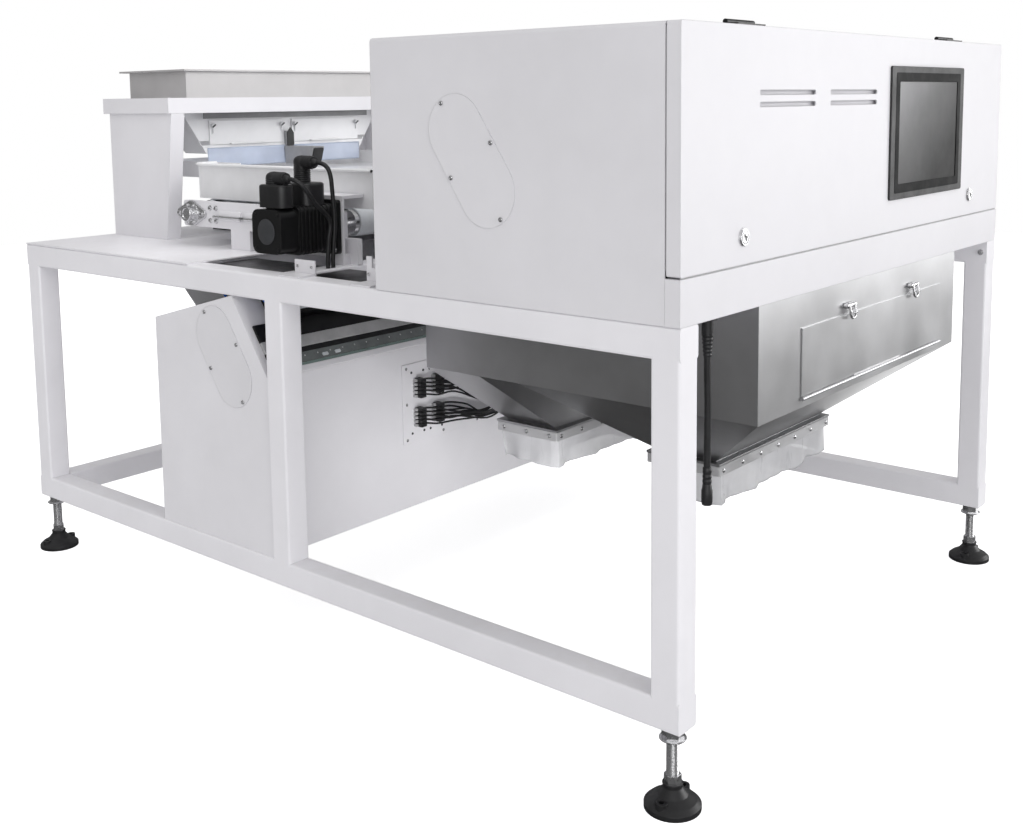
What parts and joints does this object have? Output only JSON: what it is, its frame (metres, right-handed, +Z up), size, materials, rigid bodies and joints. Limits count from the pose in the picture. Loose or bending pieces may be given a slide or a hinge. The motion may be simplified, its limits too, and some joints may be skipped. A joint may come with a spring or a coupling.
{
  "type": "optical colour sorter",
  "caption": "Belt-type optical sorter: hopper, vibratory feeder, belt, facing optics housings, chute with funnels and a touch-screen cabinet on a white tube frame.",
  "frame": {"origin": "centre of the bounding box in X and Y, on the floor", "axes": "+Z up, +Y from the operator's door to the hopper, X across the belt"},
  "size_m": [1.625, 2.2048, 1.413],
  "materials": {
    "frame_paint": "smooth white paint",
    "cabinet_paint": "smooth white paint",
    "feed_paint": "smooth white paint",
    "lower_paint": "smooth white paint",
    "stainless": "brushed stainless sheet",
    "satin_steel": "satin stainless sheet",
    "bright_steel": "zinc plated steel",
    "roller_steel": "turned steel",
    "black_plastic": "moulded black plastic",
    "black_metal": "satin black coating",
    "dark_metal": "grey coating",
    "sensor_grey": "grey coating",
    "bezel_plastic": "dark grey moulding",
    "screen": "dark display glass",
    "window_glass": "dark optical glass",
    "belt_rubber": "pale food belt",
    "clear_plastic": "soft translucent sheet",
    "black_cable": "black cable sheath",
    "blue_tube": "blue pneumatic tube"
  },
  "bodies": {
    "base": {"left_side_frame": "frame_paint", "right_side_frame": "frame_paint", "cross_rails": "frame_paint", "deck_plate": "frame_paint", "cabinet_shell": "cabinet_paint", "cabinet_floor": "cabinet_paint", "optics_wall": "cabinet_paint", "front_lip": "cabinet_paint", "optics_covers": "cabinet_paint", "gantry_sides": "feed_paint", "gantry_top": "feed_paint", "conveyor_sides": "feed_paint", "motor_bracket": "feed_paint", "lower_box": "lower_paint", "valve_plate": "lower_paint", "hopper_funnel": "stainless", "side_guards": "stainless", "chute_walls": "stainless", "splitter": "stainless", "rear_funnel": "stainless", "front_funnel": "stainless", "dust_chute": "stainless", "hopper_collar": "satin_steel", "foot_studs": "bright_steel", "roller_bearings": "bright_steel", "belt_bed": "roller_steel", "foot_pads": "black_plastic", "lead_gland": "black_plastic", "lead_connector": "black_plastic", "hinge_leaves_roof": "black_metal", "motor": "black_metal", "light_bars": "black_metal", "ejector": "black_metal", "cameras": "dark_metal", "feeder_base": "dark_metal", "level_sensor": "sensor_grey", "electronics_plate": "sensor_grey", "optics_windows": "window_glass", "belt": "belt_rubber", "curtain": "clear_plastic", "skirts": "clear_plastic", "motor_cables": "black_cable", "valve_cables": "black_cable", "power_lead": "black_cable", "air_tube": "blue_tube"},
    "door": {"door": "cabinet_paint", "screen_bezel": "bezel_plastic", "screen_glass": "screen", "panel_pc": "dark_metal", "hinge_leaves_door": "black_metal"},
    "lock_left": {"lock_left": "bright_steel"},
    "lock_right": {"lock_right": "bright_steel"},
    "access_door": {"access_door": "stainless"},
    "latch_left": {"latch_left": "bright_steel"},
    "latch_right": {"latch_right": "bright_steel"},
    "gate_left": {"gate_left": "satin_steel"},
    "gate_right": {"gate_right": "satin_steel"},
    "feeder_tray": {"feeder_tray": "stainless"},
    "drive_roller": {"drive_roller": "roller_steel"},
    "tail_roller": {"tail_roller": "roller_steel"}
  },
  "joints": [
    {"name": "door_hinge", "type": "hinge", "parent": "base", "child": "door", "pos_m": [0, -1.0505, 1.408], "axis": [-1, 0, 0], "range_deg": [0, 90]},
    {"name": "lock_left_turn", "type": "hinge", "parent": "door", "child": "lock_left", "pos_m": [-0.577, -1.08, 1.022], "axis": [0, 1, 0], "range_deg": [0, 90]},
    {"name": "lock_right_turn", "type": "hinge", "parent": "door", "child": "lock_right", "pos_m": [0.577, -1.08, 1.022], "axis": [0, 1, 0], "range_deg": [-90, 0]},
    {"name": "access_door_hinge", "type": "hinge", "parent": "base", "child": "access_door", "pos_m": [0.037, -1.0795, 0.672], "axis": [1, 0, 0], "range_deg": [0, 150]},
    {"name": "latch_left_hinge", "type": "hinge", "parent": "base", "child": "latch_left", "pos_m": [-0.117, -1.081, 0.834], "axis": [-1, 0, 0], "range_deg": [0, 100]},
    {"name": "latch_right_hinge", "type": "hinge", "parent": "base", "child": "latch_right", "pos_m": [0.227, -1.081, 0.834], "axis": [-1, 0, 0], "range_deg": [0, 100]},
    {"name": "gate_left_slide", "type": "slide", "parent": "base", "child": "gate_left", "axis": [0, 0, 1], "range_m": [0, 0.02]},
    {"name": "gate_right_slide", "type": "slide", "parent": "base", "child": "gate_right", "axis": [0, 0, 1], "range_m": [0, 0.02]},
    {"name": "feeder_shake", "type": "slide", "parent": "base", "child": "feeder_tray", "axis": [0, 1, 0], "range_m": [-0.0015, 0.0015], "stiffness_N_per_m": 20000},
    {"name": "drive_roller_spin", "type": "hinge", "parent": "base", "child": "drive_roller", "pos_m": [0, 0.065, 0.978], "axis": [1, 0, 0], "continuous": true},
    {"name": "tail_roller_spin", "type": "hinge", "parent": "base", "child": "tail_roller", "pos_m": [0, 0.625, 0.978], "axis": [1, 0, 0], "continuous": true}
  ],
  "couplings": [
    {"joint": "tail_roller_spin", "follows": "drive_roller_spin", "ratio": 1}
  ]
}
